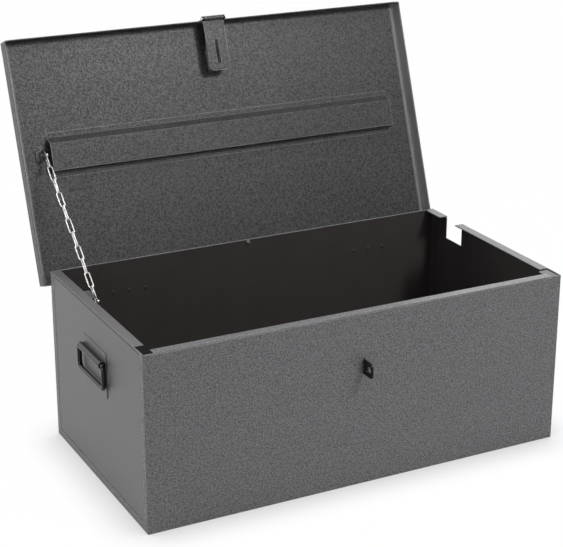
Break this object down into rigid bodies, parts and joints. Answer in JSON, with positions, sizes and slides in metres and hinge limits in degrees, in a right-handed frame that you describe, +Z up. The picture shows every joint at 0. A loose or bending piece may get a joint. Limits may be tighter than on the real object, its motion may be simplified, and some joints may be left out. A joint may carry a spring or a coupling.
{
  "type": "jobsite storage box",
  "caption": "Rectangular steel storage box with a rear-hinged tray lid held by a chain, a slotted hasp strap over a padlock staple, and a drop handle on each end.",
  "frame": {"origin": "centre of the body's underside", "axes": "+X to the right along the length, -Y to the front, +Z up"},
  "size_m": [0.789, 0.6138, 0.6773],
  "materials": {
    "grey_paint": "hammertone grey enamel, satin",
    "black_steel": "black paint, satin",
    "zinc": "zinc-plated, lightly dulled"
  },
  "bodies": {
    "box": {"front_panel": "grey_paint", "back_panel": "grey_paint", "left_end_panel": "grey_paint", "right_end_panel": "grey_paint", "floor_pan": "grey_paint", "left_corner_gusset": "black_steel", "right_corner_gusset": "black_steel", "padlock_staple": "grey_paint", "rear_wall_screw": "zinc", "rear_wall_nut": "zinc", "chain_tab": "grey_paint", "tab_chain_rivet": "zinc", "left_hinge_body_leaf": "black_steel", "right_hinge_body_leaf": "black_steel", "left_hinge_pin": "zinc", "right_hinge_pin": "zinc", "hinge_body_rivets": "black_steel", "left_handle_plate": "grey_paint", "right_handle_plate": "grey_paint", "left_handle_knuckle": "black_steel", "right_handle_knuckle": "black_steel"},
    "lid": {"lid_panel": "grey_paint", "lid_stiffener": "grey_paint", "lid_chain_lug": "grey_paint", "lug_chain_rivet": "zinc", "hasp_mount": "grey_paint", "hasp_rivets": "zinc", "left_hinge_lid_leaf": "black_steel", "right_hinge_lid_leaf": "black_steel", "hinge_lid_rivets": "black_steel"},
    "hasp_pin": {"hasp_pin": "zinc"},
    "hasp_strap": {"hasp_strap": "grey_paint"},
    "left_handle": {"left_handle_bail": "black_steel"},
    "right_handle": {"right_handle_bail": "black_steel"},
    "chain_link_01": {"chain_link_01": "zinc"},
    "chain_link_02": {"chain_link_02": "zinc"},
    "chain_link_03": {"chain_link_03": "zinc"},
    "chain_link_04": {"chain_link_04": "zinc"},
    "chain_link_05": {"chain_link_05": "zinc"},
    "chain_link_06": {"chain_link_06": "zinc"},
    "chain_link_07": {"chain_link_07": "zinc"},
    "chain_link_08": {"chain_link_08": "zinc"},
    "chain_link_09": {"chain_link_09": "zinc"},
    "chain_link_10": {"chain_link_10": "zinc"},
    "chain_link_11": {"chain_link_11": "zinc"}
  },
  "joints": [
    {"name": "lid_hinge", "type": "hinge", "parent": "box", "child": "lid", "pos_m": [0, 0.21075, 0.2742], "axis": [1, 0, 0], "range_deg": [0, 110]},
    {"name": "hasp_pin_turn", "type": "hinge", "parent": "lid", "child": "hasp_pin", "pos_m": [0, 0.35836, 0.67302], "axis": [1, 0, 0], "range_deg": [-105.5, 0.5]},
    {"name": "hasp_strap_swing", "type": "hinge", "parent": "hasp_pin", "child": "hasp_strap", "pos_m": [0, 0.35836, 0.67302], "axis": [1, 0, 0], "range_deg": [-90, 13]},
    {"name": "left_handle_swing", "type": "hinge", "parent": "box", "child": "left_handle", "pos_m": [-0.3885, 0, 0.227], "axis": [0, 1, 0], "range_deg": [0, 175]},
    {"name": "right_handle_swing", "type": "hinge", "parent": "box", "child": "right_handle", "pos_m": [0.3885, 0, 0.227], "axis": [0, -1, 0], "range_deg": [0, 175]},
    {"name": "chain_link_01_pivot", "type": "hinge", "parent": "lid", "child": "chain_link_01", "pos_m": [-0.346, 0.30221, 0.47636], "axis": [1, 0, 0], "range_deg": [-0.5, 36.82]},
    {"name": "chain_link_02_pivot", "type": "hinge", "parent": "chain_link_01", "child": "chain_link_02", "pos_m": [-0.346, 0.28476, 0.46136], "axis": [1, 0, 0], "range_deg": [-44.71, 0.5]},
    {"name": "chain_link_03_pivot", "type": "hinge", "parent": "chain_link_02", "child": "chain_link_03", "pos_m": [-0.346, 0.26155, 0.4414], "axis": [1, 0, 0], "range_deg": [-0.5, 2.93]},
    {"name": "chain_link_04_pivot", "type": "hinge", "parent": "chain_link_03", "child": "chain_link_04", "pos_m": [-0.346, 0.2441, 0.42639], "axis": [1, 0, 0], "range_deg": [-0.5, 149.35]},
    {"name": "chain_link_05_pivot", "type": "hinge", "parent": "chain_link_04", "child": "chain_link_05", "pos_m": [-0.346, 0.22088, 0.40643], "axis": [1, 0, 0], "range_deg": [-102.57, 0.5]},
    {"name": "chain_link_06_pivot", "type": "hinge", "parent": "chain_link_05", "child": "chain_link_06", "pos_m": [-0.346, 0.20343, 0.39143], "axis": [1, 0, 0], "range_deg": [-21.26, 0.5]},
    {"name": "chain_link_07_pivot", "type": "hinge", "parent": "chain_link_06", "child": "chain_link_07", "pos_m": [-0.346, 0.18022, 0.37147], "axis": [1, 0, 0], "range_deg": [-49.64, 0.5]},
    {"name": "chain_link_08_pivot", "type": "hinge", "parent": "chain_link_07", "child": "chain_link_08", "pos_m": [-0.346, 0.16277, 0.35646], "axis": [1, 0, 0], "range_deg": [-50.5, 0.5]},
    {"name": "chain_link_09_pivot", "type": "hinge", "parent": "chain_link_08", "child": "chain_link_09", "pos_m": [-0.346, 0.13956, 0.3365], "axis": [1, 0, 0], "range_deg": [-156.34, 0.5]},
    {"name": "chain_link_10_pivot", "type": "hinge", "parent": "chain_link_09", "child": "chain_link_10", "pos_m": [-0.346, 0.12211, 0.3215], "axis": [1, 0, 0], "range_deg": [-0.5, 26.59]},
    {"name": "chain_link_11_pivot", "type": "hinge", "parent": "chain_link_10", "child": "chain_link_11", "pos_m": [-0.346, 0.0989, 0.30154], "axis": [1, 0, 0], "range_deg": [-0.5, 149.67]}
  ],
  "couplings": [
    {"joint": "hasp_pin_turn", "follows": "lid_hinge", "ratio": -0.95454},
    {"joint": "chain_link_01_pivot", "follows": "lid_hinge", "ratio": 0.3302},
    {"joint": "chain_link_02_pivot", "follows": "lid_hinge", "ratio": -0.4019},
    {"joint": "chain_link_03_pivot", "follows": "lid_hinge", "ratio": 0.0221},
    {"joint": "chain_link_04_pivot", "follows": "lid_hinge", "ratio": 1.3532},
    {"joint": "chain_link_05_pivot", "follows": "lid_hinge", "ratio": -0.9279},
    {"joint": "chain_link_06_pivot", "follows": "lid_hinge", "ratio": -0.1887},
    {"joint": "chain_link_07_pivot", "follows": "lid_hinge", "ratio": -0.4467},
    {"joint": "chain_link_08_pivot", "follows": "lid_hinge", "ratio": -0.4545},
    {"joint": "chain_link_09_pivot", "follows": "lid_hinge", "ratio": -1.4167},
    {"joint": "chain_link_10_pivot", "follows": "lid_hinge", "ratio": 0.2372},
    {"joint": "chain_link_11_pivot", "follows": "lid_hinge", "ratio": 1.3561}
  ]
}
